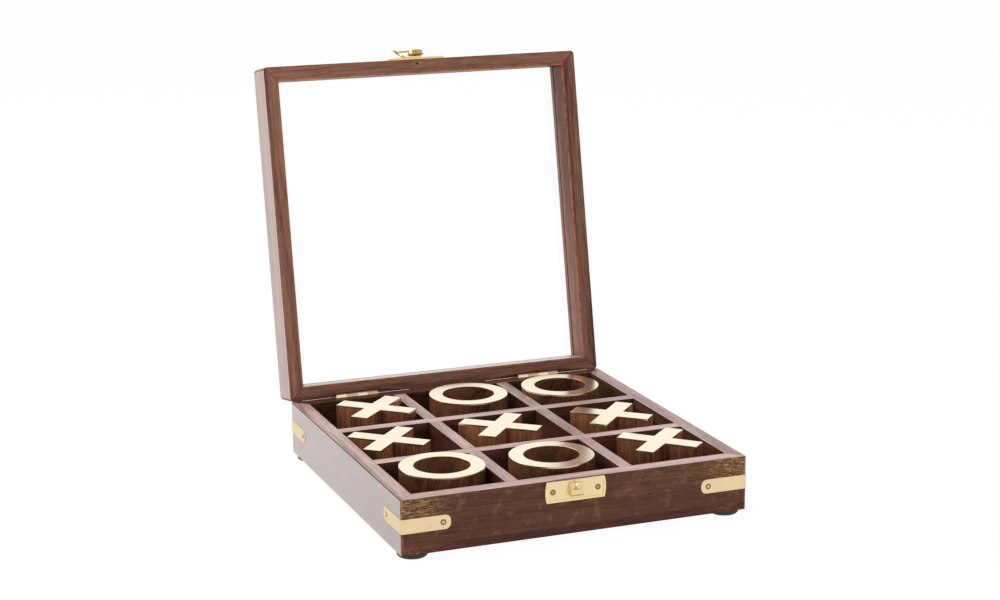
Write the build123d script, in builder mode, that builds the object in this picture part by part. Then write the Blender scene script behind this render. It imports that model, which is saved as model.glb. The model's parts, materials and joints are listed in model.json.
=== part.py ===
"""Glazed tic-tac-toe box: a flat hardwood box with a hinged glass lid and nine loose pieces.

Lengths are in millimetres. X runs across the box, Y from front to back and Z up. The box is
modelled about the centre of its base board's underside. The lid is modelled shut, about its hinge
line, and is turned open when it is done. All pieces are then moved together, so that the origin is
the middle of the open box's footprint, at the level where its feet stand.
"""

import os
from math import cos, radians, sin, sqrt, tan

from build123d import *

os.makedirs("parts", exist_ok=True)

# Box
box_width = 200.0
box_depth = 200.0
box_corner_radius = 1.0
base_thickness = 4.8
wall_height = 25.7
wall_thickness = 8.6
rim_chamfer = 0.4

# Dividers: how much wider the middle column and row are, and how far the middle column is off centre
cells_per_side = 3
divider_thickness = 7.2
middle_column_gain = 4.5
middle_row_gain = 0.4
column_shift = -1.75
lap_clearance = 0.1

# Feet
foot_diameter = 16.5
foot_height = 3.0
foot_inset = 9.0
foot_chamfer = 0.8

# Corner straps
strap_leg = 27.4
strap_height = 7.9
strap_drop = 14.5
strap_thickness = 0.8
strap_stand = 0.3
strap_end_radius = 3.2
strap_pin_inset = 4.2

# Pins of the straps and plates
pin_shank_radius = 0.65
pin_head_radius = 1.1
pin_head_height = 0.6
pin_length = 7.0

# Lid
lid_height = 24.0
lid_gap = 0.15
rail_width = 8.5
lid_corner_radius = 2.0
lid_edge_radius = 1.8
glass_depth = 14.6
glass_thickness = 2.0
glass_bite = 3.2
glass_clearance = 0.2

# Hinges
lid_open_angle = 100.9
hinge_span = 118.0
hinge_length = 26.4
hinge_drop = 0.8
knuckle_count = 4
knuckle_radius = 2.3
knuckle_gap = 0.15
hinge_pin_radius = 0.8
running_clearance = 0.04
leaf_thickness = 0.8
leaf_height = 9.4
barrel_clearance = 0.35
saw_radius = 230.0

# Hinge screws
screw_pitch = 17.0
screw_shank_radius = 0.8
screw_head_radius = 1.7
screw_head_height = 0.7
screw_length = 6.0

# Latch and keeper plates, which stand a little left of the middle
latch_shift = -2.2
keeper_plate_width = 35.1
latch_plate_width = 33.8
plate_height = 11.6
plate_thickness = 0.8
plate_edge_gap = 0.3
plate_bow = 0.8
plate_lip_width = 1.2
plate_lip_height = 0.4
plate_pin_pitch = 26.0

# Swing hook and its post
post_radius = 1.5
post_collar_radius = 2.6
post_head_radius = 2.1
post_head_height = 0.4
post_depth = 5.0
hook_stand = 0.7
hook_thickness = 0.6
hook_width = 5.2
hook_eye_radius = 3.4
hook_bend_reach = 7.4
hook_tip_reach = 14.8
hook_tip_radius = 1.7
hook_slope = 34.0
hook_clearance = 0.4

# Knob on the hook
knob_height = 3.8
knob_radius = 5.1
knob_foot_radius = 3.5
knob_top_radius = 3.9
knob_band_height = 1.2
knob_shoulder_height = 1.8
knob_groove_count = 14
knob_groove_width = 0.9
knob_groove_turn = 45.0
thumb_reach = 11.2
thumb_width = 3.6
thumb_thickness = 0.9
thumb_drop = 0.1
thumb_turn = 30.0

# Catch block and ball stud
catch_width = 7.3
catch_depth = 3.0
catch_top_gap = 0.45
catch_height = 7.0
catch_chamfer = 0.9
stud_reach = 10.5
stud_neck_radius = 0.9
stud_ball_radius = 1.8
stud_length = 2.7
notch_clearance = 0.4

# Game pieces
piece_height = 28.7
face_thickness = 1.0
piece_clearance = 0.3
ring_play = 5.9
ring_band = 8.1
cross_bar_width = 10.4
low_cross_drop = 2.9

# Each cell: its column and row, counted from the middle, and the mark that lies in it
cells = {
    "rear_left": (-1, 1, "cross"),
    "rear_middle": (0, 1, "ring"),
    "rear_right": (1, 1, "ring"),
    "middle_left": (-1, 0, "cross"),
    "centre": (0, 0, "cross"),
    "middle_right": (1, 0, "cross"),
    "front_left": (-1, -1, "ring"),
    "front_middle": (0, -1, "ring"),
    "front_right": (1, -1, "cross"),
}

# Where each mark lies, as a share of its free play across and along the cell
play_shares = {
    "rear_left": (1.0, -0.29),
    "rear_middle": (0.39, 0.86),
    "rear_right": (-1.0, 0.15),
    "middle_left": (-1.0, 1.0),
    "centre": (-0.49, -0.15),
    "middle_right": (-0.13, -0.62),
    "front_left": (0.9, 0.89),
    "front_middle": (0.17, -0.24),
    "front_right": (0.27, 0.08),
}

# How far each cross is turned, in degrees
cross_turns = {
    "rear_left": 46.5,
    "middle_left": 47.8,
    "centre": 49.7,
    "middle_right": 47.0,
    "front_right": 44.1,
}

# The one cross that is cut lower than the other marks
low_cross = "middle_left"

# Levels and lines that several pieces share
rim_level = base_thickness + wall_height
inner_width = box_width - 2 * wall_thickness
inner_depth = box_depth - 2 * wall_thickness
hinge_y = box_depth / 2 + leaf_thickness / 2
hinge_z = rim_level - hinge_drop
barrel_room = knuckle_radius + barrel_clearance
barrel_length = hinge_length + 2 * barrel_clearance
pin_bore_radius = hinge_pin_radius + running_clearance

# The lid's own frame: its mating face, rear face, front face and centre
lid_floor = hinge_drop + lid_gap
lid_rear = -leaf_thickness / 2
lid_front = lid_rear - box_depth
lid_centre = lid_rear - box_depth / 2
open_pose = Location((0, hinge_y, hinge_z), (-lid_open_angle, 0, 0))

side_names = ("front", "right", "rear", "left")
corner_signs = ((-1, -1), (1, -1), (1, 1), (-1, 1))
corner_names = ("front_left", "front_right", "rear_right", "rear_left")
corner_turns = (0, 90, 180, 270)
hinge_centres = {"left": -hinge_span / 2, "right": hinge_span / 2}
standing = (Align.CENTER, Align.CENTER, Align.MIN)
finished = {}


def finish_piece(piece, name, pose=Location()):
    """Labels a finished piece, sets it in its pose and keeps it."""
    piece.part.label = name
    finished[name] = piece.part.move(pose)


def mitre_outline(side, reach):
    """Corners of the trapezoid that one side of a mitred frame fills, to a depth of reach."""
    ends = (corner_signs[side], corner_signs[(side + 1) % len(corner_signs)])
    outer = [(sx * box_width / 2, sy * box_depth / 2) for sx, sy in ends]
    inner = [(sx * (box_width / 2 - reach), sy * (box_depth / 2 - reach)) for sx, sy in reversed(ends)]
    return outer + inner


def keep_side(plane, side, reach, height):
    """Cuts the frame being built back to one side, between its two mitre planes."""
    with BuildSketch(plane) as wedge:
        Polygon(*mitre_outline(side, reach), align=None)
    extrude(wedge.sketch, amount=height, mode=Mode.INTERSECT)


def headed_pins(planes, shank_radius, length, head_radius, head_height):
    """One pin or screw on each plane: its low head stands on the plane, its shank goes in."""
    with BuildPart() as fasteners:
        with Locations(*[plane.offset(-length) for plane in planes]):
            Cylinder(shank_radius, length, align=standing)
        with Locations(*planes):
            Cylinder(head_radius, head_height, align=standing)
    return fasteners


# Corner straps: a flat bar bent round each corner, let into the wood with round ends
strap_level = rim_level - strap_drop
strap_pin_place = strap_leg - strap_pin_inset
strap_sunk = strap_thickness - strap_stand
strap_bend_radius = box_corner_radius + strap_stand
strap_faces = (
    Plane((strap_pin_place, -strap_stand, 0), x_dir=(1, 0, 0), z_dir=(0, -1, 0)),
    Plane((-strap_stand, strap_pin_place, 0), x_dir=(0, -1, 0), z_dir=(-1, 0, 0)),
)


def strap_pin_planes():
    """Planes on the outer faces of the straps where the pins go in."""
    planes = []
    for (sx, sy), turn in zip(corner_signs, corner_turns):
        corner = Location((sx * box_width / 2, sy * box_depth / 2, strap_level), (0, 0, turn))
        planes += [Plane(corner * face.location) for face in strap_faces]
    return planes


pin_sizes = (pin_shank_radius, pin_length, pin_head_radius, pin_head_height)
strap_pins = headed_pins(strap_pin_planes(), *pin_sizes)

straps = {}
for name, (sx, sy), turn in zip(corner_names, corner_signs, corner_turns):
    with BuildPart() as strap:
        with BuildSketch(Plane.XY.offset(-strap_height / 2)) as angle_bar:
            with BuildLine():
                Polyline(
                    (-strap_stand, strap_leg),
                    (-strap_stand, -strap_stand),
                    (strap_leg, -strap_stand),
                    (strap_leg, strap_sunk),
                    (strap_sunk, strap_sunk),
                    (strap_sunk, strap_leg),
                    close=True,
                )
            make_face()
            fillet(angle_bar.vertices().sort_by_distance((-strap_stand, -strap_stand))[0], strap_bend_radius)
        extrude(amount=strap_height)
        fillet(strap.edges().filter_by(Axis.Y).group_by(Axis.X)[-1], strap_end_radius)
        fillet(strap.edges().filter_by(Axis.X).group_by(Axis.Y)[-1], strap_end_radius)
        with Locations(*strap_faces):
            Hole(pin_shank_radius, strap_thickness)
    strap.part.move(Location((sx * box_width / 2, sy * box_depth / 2, strap_level), (0, 0, turn)))
    straps[name] = strap

# Hinges: two leaves each, whose knuckles share one pin and take turns along it
hinge_origin = Vector(0, hinge_y, hinge_z)
knuckle_pitch = hinge_length / knuckle_count
leaf_root = knuckle_radius + running_clearance + knuckle_gap
screw_row = (leaf_root + leaf_height) / 2


def hinge_leaf(origin, centre, up, first):
    """A leaf from the hinge line at origin: up is 1 for the lid's and -1 for the box's."""
    with BuildPart(Plane(origin)) as leaf:
        with Locations((centre, 0, up * (leaf_root + leaf_height) / 2)):
            Box(hinge_length, leaf_thickness, leaf_height - leaf_root)
        for place in range(first, knuckle_count, 2):
            middle = centre + (2 * place + 1 - knuckle_count) * knuckle_pitch / 2
            with Locations((middle, 0, up * leaf_root / 2)):
                Box(knuckle_pitch - knuckle_gap, leaf_thickness, leaf_root)
            with Locations((middle, 0, 0)):
                Cylinder(knuckle_radius, knuckle_pitch - knuckle_gap, rotation=(0, 90, 0))
        with Locations((centre, 0, 0)):
            Cylinder(pin_bore_radius, hinge_length + knuckle_pitch, rotation=(0, 90, 0), mode=Mode.SUBTRACT)
        for offset_x in (-screw_pitch / 2, screw_pitch / 2):
            with Locations((centre + offset_x, 0, up * screw_row)):
                Cylinder(screw_shank_radius, 2 * leaf_thickness, rotation=(90, 0, 0), mode=Mode.SUBTRACT)
    return leaf


def hinge_screw_planes(origin, up):
    """Planes on the leaves' outer faces where the screws go in."""
    return [
        Plane(
            origin + Vector(centre + offset_x, leaf_thickness / 2, up * screw_row),
            x_dir=(-1, 0, 0),
            z_dir=(0, 1, 0),
        )
        for centre in hinge_centres.values()
        for offset_x in (-screw_pitch / 2, screw_pitch / 2)
    ]


box_leaves = {name: hinge_leaf(hinge_origin, x, -1, 0) for name, x in hinge_centres.items()}
lid_leaves = {name: hinge_leaf(Vector(), x, 1, 1) for name, x in hinge_centres.items()}
screw_sizes = (screw_shank_radius, screw_length, screw_head_radius, screw_head_height)
box_hinge_screws = headed_pins(hinge_screw_planes(hinge_origin, -1), *screw_sizes)
lid_hinge_screws = headed_pins(hinge_screw_planes(Vector(), 1), *screw_sizes)

with BuildPart(Plane(hinge_origin)) as hinge_pins:
    for centre in hinge_centres.values():
        with Locations((centre, 0, 0)):
            Cylinder(hinge_pin_radius, hinge_length, rotation=(0, 90, 0))

# Latch and keeper plates: bowed ends and a raised lip all round
pivot_rise = lid_gap + plate_edge_gap + plate_height / 2
keeper_level = rim_level - plate_edge_gap - plate_height / 2
keeper_plane = Plane((latch_shift, -box_depth / 2, keeper_level), x_dir=(1, 0, 0), z_dir=(0, -1, 0))
latch_level = lid_floor + plate_edge_gap + plate_height / 2
latch_plane = Plane((latch_shift, lid_front, latch_level), x_dir=(1, 0, 0), z_dir=(0, -1, 0))


def plate_pin_planes(plane):
    """Planes on a plate's field where its two pins go in."""
    return [
        Plane(plane.from_local_coords((x, 0, plate_thickness)), x_dir=plane.x_dir, z_dir=plane.z_dir)
        for x in (-plate_pin_pitch / 2, plate_pin_pitch / 2)
    ]


def bowed_plate(plane, width, post_hole_radius=0.0):
    """A plate on the plane, with its two pin holes and, where asked, a hole in the middle."""
    end = width / 2
    corner = end - plate_bow
    top = plate_height / 2
    with BuildPart() as plate:
        with BuildSketch(plane) as outline:
            with BuildLine():
                Line((-corner, top), (corner, top))
                ThreePointArc((corner, top), (end, 0), (corner, -top))
                Line((corner, -top), (-corner, -top))
                ThreePointArc((-corner, -top), (-end, 0), (-corner, top))
            make_face()
        extrude(outline.sketch, amount=plate_thickness + plate_lip_height)
        with BuildSketch(plane.offset(plate_thickness)) as field:
            add(outline.sketch_local)
            offset(amount=-plate_lip_width, mode=Mode.REPLACE)
        extrude(field.sketch, amount=plate_lip_height, mode=Mode.SUBTRACT)
        with Locations(*plate_pin_planes(plane)):
            Hole(pin_shank_radius, plate_thickness)
        if post_hole_radius:
            with Locations(plane.offset(plate_thickness)):
                Hole(post_hole_radius, plate_thickness)
    return plate


keeper_plate = bowed_plate(keeper_plane, keeper_plate_width)
latch_plate = bowed_plate(latch_plane, latch_plate_width, post_radius)
keeper_pins = headed_pins(plate_pin_planes(keeper_plane), *pin_sizes)
latch_plate_pins = headed_pins(plate_pin_planes(latch_plane), *pin_sizes)

# Catch block: a ramp, parallel to the hook's sloping arm, that carries the ball stud
slope = radians(hook_slope)
catch_top_reach = pivot_rise + plate_edge_gap + plate_lip_width + catch_top_gap


def ramp_height(reach):
    """Height above the plate of the ramp, one clearance below the hook's arm."""
    return hook_stand + (reach - hook_bend_reach) * tan(slope) - hook_clearance / cos(slope)


ramp_end_reach = hook_bend_reach + (catch_depth - hook_stand + hook_clearance / cos(slope)) / tan(slope)
catch_bottom_reach = catch_top_reach + catch_height
catch_face = -box_depth / 2 - plate_thickness


def catch_point(reach, height):
    """A point of the catch's side view: its place along Y and Z."""
    return (catch_face - height, rim_level + pivot_rise - reach)


with BuildPart() as catch_block:
    with BuildSketch(Plane.YZ.offset(latch_shift - catch_width / 2)) as catch_side:
        with BuildLine():
            Polyline(
                catch_point(catch_top_reach, 0),
                catch_point(catch_top_reach, ramp_height(catch_top_reach)),
                catch_point(ramp_end_reach, catch_depth),
                catch_point(catch_bottom_reach - catch_chamfer, catch_depth),
                catch_point(catch_bottom_reach, catch_depth - catch_chamfer),
                catch_point(catch_bottom_reach, 0),
                close=True,
            )
        make_face()
    extrude(amount=catch_width)

stud_y, stud_z = catch_point(stud_reach, ramp_height(stud_reach))
stud_plane = Plane((latch_shift, stud_y, stud_z), x_dir=(1, 0, 0), z_dir=(0, -cos(slope), sin(slope)))
with BuildPart(stud_plane) as ball_stud:
    Cylinder(stud_neck_radius, stud_length, align=standing)
    with Locations((0, 0, stud_length)):
        Sphere(stud_ball_radius)

# Latch post: it goes through the plate into the rail, with a collar under the hook and a head on top
post_plane = latch_plane.offset(plate_thickness)
post_bore_radius = post_radius + running_clearance
knob_level = hook_stand + hook_thickness
post_top = knob_level + knob_height + running_clearance
with BuildPart(post_plane) as latch_post:
    Cylinder(post_collar_radius, hook_stand - running_clearance, align=standing)
    with Locations((0, 0, -plate_thickness - post_depth)):
        Cylinder(post_radius, plate_thickness + post_depth + post_top, align=standing)
    with Locations((0, 0, post_top)):
        Cylinder(post_head_radius, post_head_height, align=standing)

# Swing hook: a strap that leaves the post flat, then slopes away from the lid to a lifted tip
arm_rise = (hook_tip_reach - hook_bend_reach) * tan(slope)
arm_normal = (sin(slope), -cos(slope), 0)
hook_top = hook_stand + hook_thickness
hook_plane = Plane(post_plane.origin, x_dir=(-1, 0, 0), z_dir=(0, 0, 1))
notch_lift = hook_clearance + hook_thickness / 2
notch_reach = stud_reach - notch_lift * sin(slope)
notch_height = ramp_height(stud_reach) + notch_lift * cos(slope)
notch_radius = stud_neck_radius + notch_clearance

with BuildPart() as latch_hook:
    with BuildSketch(hook_plane) as strap_side:
        with BuildLine():
            tip = (hook_tip_reach, hook_stand + arm_rise)
            Polyline(
                (0, hook_stand),
                (hook_bend_reach, hook_stand),
                tip,
                (tip[0] - hook_thickness * sin(slope), tip[1] + hook_thickness * cos(slope)),
                (hook_bend_reach - hook_thickness * tan(slope / 2), hook_top),
                (0, hook_top),
                close=True,
            )
        make_face()
    extrude(amount=hook_width / 2, both=True)
    fillet(latch_hook.edges().filter_by(Axis((0, 0, 0), arm_normal)), hook_tip_radius)
    with Locations(post_plane.offset(hook_stand)):
        Cylinder(hook_eye_radius, hook_thickness, align=standing)
    with Locations(post_plane.offset(hook_top)):
        Hole(post_bore_radius, hook_thickness)
    notch_plane = Plane(
        hook_plane.from_local_coords((notch_reach, notch_height, 0)),
        x_dir=(0, 0, -1),
        z_dir=arm_normal,
    )
    with BuildSketch(notch_plane) as notch:
        Circle(notch_radius)
        Rectangle(hook_width, 2 * notch_radius, align=(Align.MIN, Align.CENTER))
    extrude(notch.sketch, amount=hook_thickness, both=True, mode=Mode.SUBTRACT)

# Knob: a swelling foot, a grooved waist that draws in to the top, and a thumb tab
waist_radius = (knob_radius + knob_top_radius) / 2
knob_plane = post_plane.offset(knob_level)
with BuildPart() as latch_knob:
    with BuildSketch(Plane(knob_plane.origin, x_dir=(1, 0, 0), z_dir=(0, 0, 1))) as knob_side:
        with BuildLine():
            Polyline(
                (post_bore_radius, 0),
                (knob_foot_radius, 0),
                (knob_radius, -knob_band_height),
                (waist_radius, -knob_shoulder_height),
                (knob_top_radius, -knob_height),
                (post_bore_radius, -knob_height),
                close=True,
            )
        make_face()
    revolve(knob_side.sketch, axis=Axis(knob_plane.origin, (0, 1, 0)))
    with BuildSketch(knob_plane.offset(knob_shoulder_height)) as grooves:
        with PolarLocations(waist_radius, knob_groove_count):
            Rectangle(knob_groove_width, knob_groove_width, rotation=knob_groove_turn)
    extrude(grooves.sketch, amount=knob_height, mode=Mode.SUBTRACT)
    with BuildSketch(knob_plane.offset(knob_height - thumb_drop - thumb_thickness)) as thumb:
        with Locations(Location((0, 0, 0), (0, 0, 180 - thumb_turn))):
            with Locations((thumb_reach / 2, 0)):
                SlotOverall(thumb_reach, thumb_width)
        Circle(post_bore_radius, mode=Mode.SUBTRACT)
    extrude(thumb.sketch, amount=thumb_thickness)

# Base board and the ring that the four walls are cut from
with BuildPart() as base_board:
    with BuildSketch() as base_outline:
        RectangleRounded(box_width, box_depth, box_corner_radius)
    extrude(amount=base_thickness)

wall_plane = Plane.XY.offset(base_thickness)
with BuildPart() as wall_ring:
    with BuildSketch(wall_plane) as wall_outline:
        RectangleRounded(box_width, box_depth, box_corner_radius)
        Rectangle(inner_width, inner_depth, mode=Mode.SUBTRACT)
    extrude(amount=wall_height)
    rim = wall_ring.faces().sort_by(Axis.Z)[-1]
    chamfer(rim.outer_wire().edges(), rim_chamfer)
    for strap in straps.values():
        add(strap.part, mode=Mode.SUBTRACT)
    add(strap_pins.part, mode=Mode.SUBTRACT)
    add(keeper_pins.part, mode=Mode.SUBTRACT)
    add(box_hinge_screws.part, mode=Mode.SUBTRACT)
    with Locations(*[(x, hinge_y, hinge_z) for x in hinge_centres.values()]):
        Cylinder(barrel_room, barrel_length, rotation=(0, 90, 0), mode=Mode.SUBTRACT)
        Box(barrel_length, 2 * barrel_room, hinge_drop, align=standing, mode=Mode.SUBTRACT)

walls = {}
for side, name in enumerate(side_names):
    with BuildPart() as wall:
        add(wall_ring.part)
        keep_side(wall_plane, side, wall_thickness, wall_height)
    walls[name] = wall

# Cells: the side ones share what the middle one and the dividers leave
side_cell_width = (inner_width - 2 * divider_thickness - middle_column_gain) / cells_per_side
side_cell_depth = (inner_depth - 2 * divider_thickness - middle_row_gain) / cells_per_side
column_pitch = side_cell_width + middle_column_gain + divider_thickness
row_pitch = side_cell_depth + middle_row_gain + divider_thickness

# Dividers: level with the rim, and halved into each other where they cross
lap_width = divider_thickness + 2 * lap_clearance
lap_height = (wall_height + lap_clearance) / 2


def divider(plane, length, crossings, lap_from_top):
    """A divider along the plane's X, with laps at its crossings, cut from the top or the bottom."""
    with BuildPart(plane) as board:
        Box(length, divider_thickness, wall_height, align=standing)
        level = wall_height - lap_height if lap_from_top else 0
        with Locations(*[(crossing, 0, level) for crossing in crossings]):
            Box(lap_width, divider_thickness, lap_height, align=standing, mode=Mode.SUBTRACT)
    return board


along_places = {"left": column_shift - column_pitch / 2, "right": column_shift + column_pitch / 2}
across_places = {"front": -row_pitch / 2, "rear": row_pitch / 2}
dividers = {}
for name, y in across_places.items():
    across_plane = Plane((0, y, base_thickness))
    dividers[f"across_{name}"] = divider(across_plane, inner_width, along_places.values(), False)
for name, x in along_places.items():
    along_plane = Plane((x, 0, base_thickness), x_dir=(0, 1, 0))
    dividers[f"along_{name}"] = divider(along_plane, inner_depth, across_places.values(), True)

# Feet: low discs with a chamfered lower edge
feet = {}
for name, (sx, sy) in zip(corner_names, corner_signs):
    foot_place = Location((sx * (box_width / 2 - foot_inset), sy * (box_depth / 2 - foot_inset), -foot_height))
    with BuildPart() as foot:
        Cylinder(foot_diameter / 2, foot_height, align=standing)
        chamfer(foot.faces().sort_by(Axis.Z)[0].edges(), foot_chamfer)
    foot.part.move(foot_place)
    feet[name] = foot

# Lid frame: rounded ring with the glass groove and the two saw cuts that clear the hinge barrels
lid_plane = Plane((0, lid_centre, lid_floor))
groove_height = glass_thickness + glass_clearance
pane_width = box_width - 2 * rail_width + 2 * glass_bite
pane_depth = box_depth - 2 * rail_width + 2 * glass_bite
barrel_end_sag = saw_radius - sqrt(saw_radius**2 - (hinge_length / 2 + barrel_clearance) ** 2)
saw_depth = barrel_room - leaf_thickness / 2 + barrel_end_sag
saw_half_chord = sqrt(saw_radius**2 - (saw_radius - saw_depth) ** 2)
saw_height = barrel_room - lid_floor

with BuildPart() as lid_ring:
    with BuildSketch(lid_plane) as lid_outline:
        RectangleRounded(box_width, box_depth, lid_corner_radius)
        Rectangle(box_width - 2 * rail_width, box_depth - 2 * rail_width, mode=Mode.SUBTRACT)
    extrude(amount=lid_height)
    fillet(lid_ring.faces().sort_by(Axis.Z)[-1].edges(), lid_edge_radius)
    with BuildSketch(lid_plane.offset(glass_depth)) as groove:
        Rectangle(pane_width + 2 * glass_clearance, pane_depth + 2 * glass_clearance)
    extrude(amount=groove_height, mode=Mode.SUBTRACT)
    with BuildSketch(Plane.XY.offset(lid_floor)) as saw_cuts:
        for centre in hinge_centres.values():
            with BuildLine():
                Line((centre - saw_half_chord, lid_rear), (centre + saw_half_chord, lid_rear))
                ThreePointArc(
                    (centre + saw_half_chord, lid_rear),
                    (centre, lid_rear - saw_depth),
                    (centre - saw_half_chord, lid_rear),
                )
            make_face()
    extrude(amount=saw_height, mode=Mode.SUBTRACT)
    add(lid_hinge_screws.part, mode=Mode.SUBTRACT)
    add(latch_plate_pins.part, mode=Mode.SUBTRACT)
    add(latch_post.part, mode=Mode.SUBTRACT)

rails = {}
for side, name in enumerate(side_names):
    with BuildPart() as rail:
        add(lid_ring.part)
        keep_side(lid_plane, side, rail_width, lid_height)
    rails[name] = rail

with BuildPart() as glass_pane:
    with BuildSketch(lid_plane.offset(glass_depth)) as pane_outline:
        Rectangle(pane_width, pane_depth)
    extrude(amount=glass_thickness)

# Game pieces: wooden rings and crosses with a brass plate on top, each where it lies in its cell
column_bounds = {
    -1: (-inner_width / 2, along_places["left"] - divider_thickness / 2),
    0: (along_places["left"] + divider_thickness / 2, along_places["right"] - divider_thickness / 2),
    1: (along_places["right"] + divider_thickness / 2, inner_width / 2),
}
row_bounds = {
    -1: (-inner_depth / 2, across_places["front"] - divider_thickness / 2),
    0: (across_places["front"] + divider_thickness / 2, across_places["rear"] - divider_thickness / 2),
    1: (across_places["rear"] + divider_thickness / 2, inner_depth / 2),
}
smallest_cell = min(high - low for low, high in [*column_bounds.values(), *row_bounds.values()])
ring_radius = (smallest_cell - ring_play) / 2
cross_length = 2 * ring_radius


def place_between(bounds, half_extent, share):
    """Where a piece's middle lies between two walls: its share of the free play off the centre."""
    low, high = bounds
    play = (high - low) / 2 - half_extent - piece_clearance
    return (low + high) / 2 + share * play


def piece_place(cell):
    """Where a cell's piece stands, and how far it is turned."""
    column, row, mark = cells[cell]
    turn = cross_turns.get(cell, 0)
    half_extent = ring_radius
    if mark == "cross":
        c, s = abs(cos(radians(turn))), abs(sin(radians(turn)))
        half_extent = (cross_length * max(c, s) + cross_bar_width * min(c, s)) / 2
    share_x, share_y = play_shares[cell]
    x = place_between(column_bounds[column], half_extent, share_x)
    y = place_between(row_bounds[row], half_extent, share_y)
    return Location((x, y, base_thickness), (0, 0, turn))


def mark_outline(mark, level):
    """The outline of a ring or of a cross, drawn at a height above the cell's floor."""
    with BuildSketch(Plane.XY.offset(level)) as outline:
        if mark == "ring":
            Circle(ring_radius)
            Circle(ring_radius - ring_band, mode=Mode.SUBTRACT)
        else:
            Rectangle(cross_length, cross_bar_width)
            Rectangle(cross_bar_width, cross_length)
    return outline.sketch


pieces = {}
for cell, (_, _, mark) in cells.items():
    body_height = piece_height - face_thickness
    if cell == low_cross:
        body_height -= low_cross_drop
    place = piece_place(cell)
    with BuildPart() as body:
        extrude(mark_outline(mark, 0), amount=body_height)
    with BuildPart() as face:
        extrude(mark_outline(mark, body_height), amount=face_thickness)
    pieces[f"{mark}_{cell}_body"] = (body, place)
    pieces[f"{mark}_{cell}_face"] = (face, place)

# Finishing the box
finish_piece(base_board, "base_board")
for name, wall in walls.items():
    finish_piece(wall, f"wall_{name}")
for name, board in dividers.items():
    finish_piece(board, f"divider_{name}")
for name in corner_names:
    finish_piece(feet[name], f"foot_{name}")
    finish_piece(straps[name], f"corner_strap_{name}")
finish_piece(strap_pins, "strap_pins")
finish_piece(keeper_plate, "keeper_plate")
finish_piece(keeper_pins, "keeper_pins")
finish_piece(catch_block, "catch_block")
finish_piece(ball_stud, "ball_stud")
for name in hinge_centres:
    finish_piece(box_leaves[name], f"box_hinge_leaf_{name}")
finish_piece(box_hinge_screws, "box_hinge_screws")
finish_piece(hinge_pins, "hinge_pins")

# Finishing the lid and its latch, turned open about the hinge line
for name, rail in rails.items():
    finish_piece(rail, f"lid_rail_{name}", open_pose)
finish_piece(glass_pane, "glass_pane", open_pose)
for name in hinge_centres:
    finish_piece(lid_leaves[name], f"lid_hinge_leaf_{name}", open_pose)
finish_piece(lid_hinge_screws, "lid_hinge_screws", open_pose)
finish_piece(latch_plate, "latch_plate", open_pose)
finish_piece(latch_plate_pins, "latch_plate_pins", open_pose)
finish_piece(latch_post, "latch_post", open_pose)
finish_piece(latch_hook, "latch_hook", open_pose)
finish_piece(latch_knob, "latch_knob", open_pose)

# Finishing the game pieces
for name, (piece, place) in pieces.items():
    finish_piece(piece, name, place)

# The origin: the middle of the open box's footprint, where its feet stand
extents = [part.bounding_box() for part in finished.values()]
middle_x = (min(extent.min.X for extent in extents) + max(extent.max.X for extent in extents)) / 2
middle_y = (min(extent.min.Y for extent in extents) + max(extent.max.Y for extent in extents)) / 2
for name, part in finished.items():
    part.move(Location((-middle_x, -middle_y, foot_height)))
    export_step(part, f"parts/{name}.step")
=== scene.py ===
"""Looks of the glazed tic-tac-toe box: its woods, brasses, glass, feet, studio and camera."""

import json
import logging
import math
from dataclasses import dataclass, field, replace
from enum import Enum

import bpy
import numpy as np
from mathutils import Matrix, Vector


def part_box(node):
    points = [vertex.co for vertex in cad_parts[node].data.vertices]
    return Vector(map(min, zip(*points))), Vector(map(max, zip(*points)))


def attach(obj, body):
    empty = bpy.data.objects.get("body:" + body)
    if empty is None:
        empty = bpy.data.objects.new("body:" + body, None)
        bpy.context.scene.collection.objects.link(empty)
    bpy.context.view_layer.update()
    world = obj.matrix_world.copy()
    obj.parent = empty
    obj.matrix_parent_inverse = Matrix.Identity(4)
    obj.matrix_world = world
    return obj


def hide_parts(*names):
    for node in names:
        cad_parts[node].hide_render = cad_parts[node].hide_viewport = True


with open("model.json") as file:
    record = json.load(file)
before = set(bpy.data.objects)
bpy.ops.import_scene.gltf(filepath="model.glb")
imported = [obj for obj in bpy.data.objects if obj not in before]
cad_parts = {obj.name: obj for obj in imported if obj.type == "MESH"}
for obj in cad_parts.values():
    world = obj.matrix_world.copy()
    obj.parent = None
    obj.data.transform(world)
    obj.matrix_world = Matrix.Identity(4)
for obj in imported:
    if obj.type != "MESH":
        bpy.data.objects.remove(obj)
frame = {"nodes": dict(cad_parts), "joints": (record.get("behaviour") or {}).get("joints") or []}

log = logging.getLogger("tic_tac_toe_box")

Colour = tuple[float, float, float]
Point = tuple[float, float, float]
Surface = tuple[np.ndarray, list[tuple[int, ...]], list[int]]
Change = dict[str, Colour | float]

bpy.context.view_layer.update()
MM = 0.001

LID_JOINT = next(joint for joint in frame["joints"] if joint["name"] == "lid_hinge")
HOOK_JOINT = next(joint for joint in frame["joints"] if joint["name"] == "hook_swing")
OPEN_ANGLE = -math.radians(LID_JOINT["range_deg"][0])
HINGE_LINE = Vector(LID_JOINT["pos_m"])
BOARD_LOW, BOARD_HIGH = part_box("base_board")
BOX_ORIGIN = Vector(((BOARD_LOW.x + BOARD_HIGH.x) / 2, (BOARD_LOW.y + BOARD_HIGH.y) / 2, BOARD_LOW.z))
FLOOR_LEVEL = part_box("foot_front_left")[0].z
LID_POSE = Matrix.Translation(HINGE_LINE) @ Matrix.Rotation(-OPEN_ANGLE, 4, "X")

CORNERS = ("front_left", "front_right", "rear_right", "rear_left")
CORNER_STRAPS = [f"corner_strap_{corner}" for corner in CORNERS]

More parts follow.
